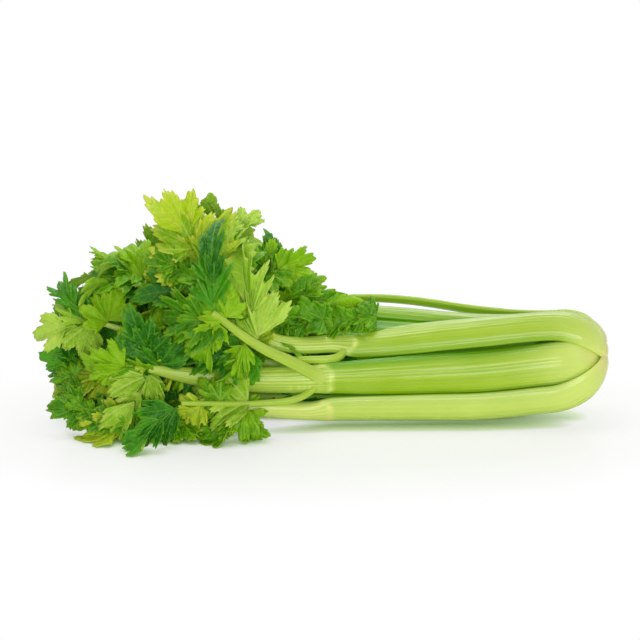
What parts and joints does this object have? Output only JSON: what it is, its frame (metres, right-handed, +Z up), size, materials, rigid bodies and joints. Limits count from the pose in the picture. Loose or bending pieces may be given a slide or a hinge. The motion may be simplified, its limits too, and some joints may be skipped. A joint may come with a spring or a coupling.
{
  "type": "head of celery",
  "caption": "Head of celery lying on its side: ribbed stalks joined at a root crown, each dividing at its node into stems with lobed leaflets.",
  "frame": {"origin": "under the middle of the head's bounding box, on the surface it lies on", "axes": "+X along the head towards the cut root face, -Y the front, +Z up from the surface it lies on"},
  "size_m": [0.4424, 0.2076, 0.1882],
  "materials": {
    "stalk": "satin waxy skin, ribbed lengthwise, paler at the nodes and the root",
    "heart_stalk": "satin, pale yellow-green",
    "root": "matt cut face, pale with a brownish scar",
    "leaf_dark": "soft satin, dark upper side",
    "leaf_green": "soft satin, mid green",
    "leaf_light": "matt, pale underside",
    "leaf_yellow": "matt, yellow-green"
  },
  "bodies": {
    "root": {"root_crown": "root", "stalk_arched": "stalk", "stalk_back": "stalk", "stalk_bottom": "stalk", "stalk_bottom_back": "stalk", "stalk_bottom_front": "stalk", "stalk_front": "stalk", "stalk_top_back": "stalk", "stalk_top_front": "stalk", "heart_stalk_back": "heart_stalk", "heart_stalk_bottom": "heart_stalk", "heart_stalk_front": "heart_stalk", "heart_stalk_top": "heart_stalk", "leaflet_arched_1": "leaf_green", "leaflet_arched_2": "leaf_green", "leaflet_arched_3": "leaf_dark", "leaflet_arched_4": "leaf_light", "leaflet_back_1": "leaf_green", "leaflet_back_2": "leaf_light", "leaflet_back_3": "leaf_dark", "leaflet_back_4": "leaf_green", "leaflet_bottom_1": "leaf_green", "leaflet_bottom_2": "leaf_light", "leaflet_bottom_back_1": "leaf_yellow", "leaflet_bottom_back_2": "leaf_green", "leaflet_bottom_back_3": "leaf_dark", "leaflet_bottom_front_1": "leaf_green", "leaflet_bottom_front_2": "leaf_green", "leaflet_bottom_front_3": "leaf_yellow", "leaflet_front_lower_1": "leaf_light", "leaflet_front_lower_2": "leaf_green", "leaflet_front_lower_3": "leaf_dark", "leaflet_front_middle_1": "leaf_light", "leaflet_front_middle_2": "leaf_dark", "leaflet_front_middle_3": "leaf_green", "leaflet_front_upper_1": "leaf_light", "leaflet_front_upper_2": "leaf_green", "leaflet_front_upper_3": "leaf_dark", "leaflet_front_upper_4": "leaf_green", "leaflet_front_upper_5": "leaf_green", "leaflet_heart_back_1": "leaf_light", "leaflet_heart_back_2": "leaf_green", "leaflet_heart_back_3": "leaf_green", "leaflet_heart_bottom_1": "leaf_yellow", "leaflet_heart_bottom_2": "leaf_green", "leaflet_heart_front_1": "leaf_dark", "leaflet_heart_front_2": "leaf_light", "leaflet_heart_top_1": "leaf_green", "leaflet_heart_top_2": "leaf_light", "leaflet_heart_top_3": "leaf_dark", "leaflet_top_back_1": "leaf_green", "leaflet_top_back_2": "leaf_dark", "leaflet_top_back_3": "leaf_green", "leaflet_top_front_1": "leaf_yellow", "leaflet_top_front_2": "leaf_light", "leaflet_top_front_3": "leaf_dark", "leaflet_top_front_4": "leaf_green", "leaflet_top_front_5": "leaf_green", "leaflet_top_side_1": "leaf_green", "leaflet_top_side_2": "leaf_dark"}
  },
  "joints": []
}
